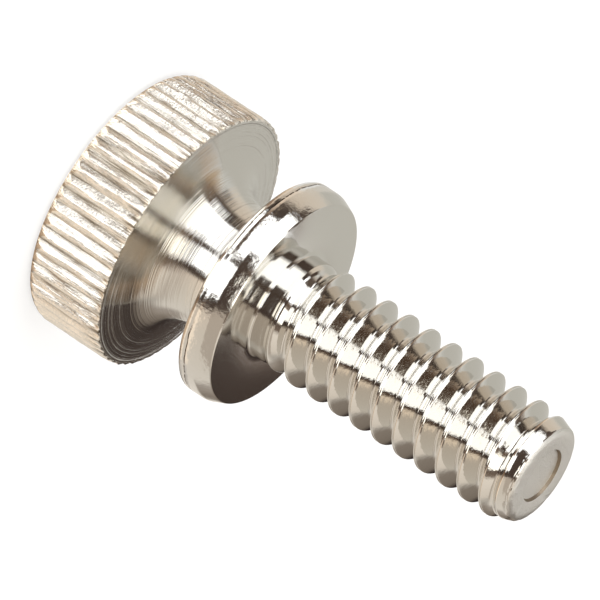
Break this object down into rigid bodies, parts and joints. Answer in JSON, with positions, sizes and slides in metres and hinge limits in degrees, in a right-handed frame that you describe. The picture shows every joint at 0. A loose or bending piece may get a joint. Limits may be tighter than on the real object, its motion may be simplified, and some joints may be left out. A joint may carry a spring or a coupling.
{
  "type": "thumb screw",
  "caption": "Thumb screw with a straight-knurled round head, a hollow turned neck, a round clamping flange and a right-hand machine thread.",
  "frame": {"origin": "centre of the head's flat top, on which the screw stands", "axes": "+Z along the screw's axis, from the head to the thread's end; X and Y across it"},
  "size_m": [0.0112, 0.0112, 0.021],
  "materials": {
    "nickel_plated_metal": "bright nickel plating, warm grey, over turned and rolled metal"
  },
  "bodies": {
    "root": {"thumb_screw": "nickel_plated_metal"}
  },
  "joints": []
}
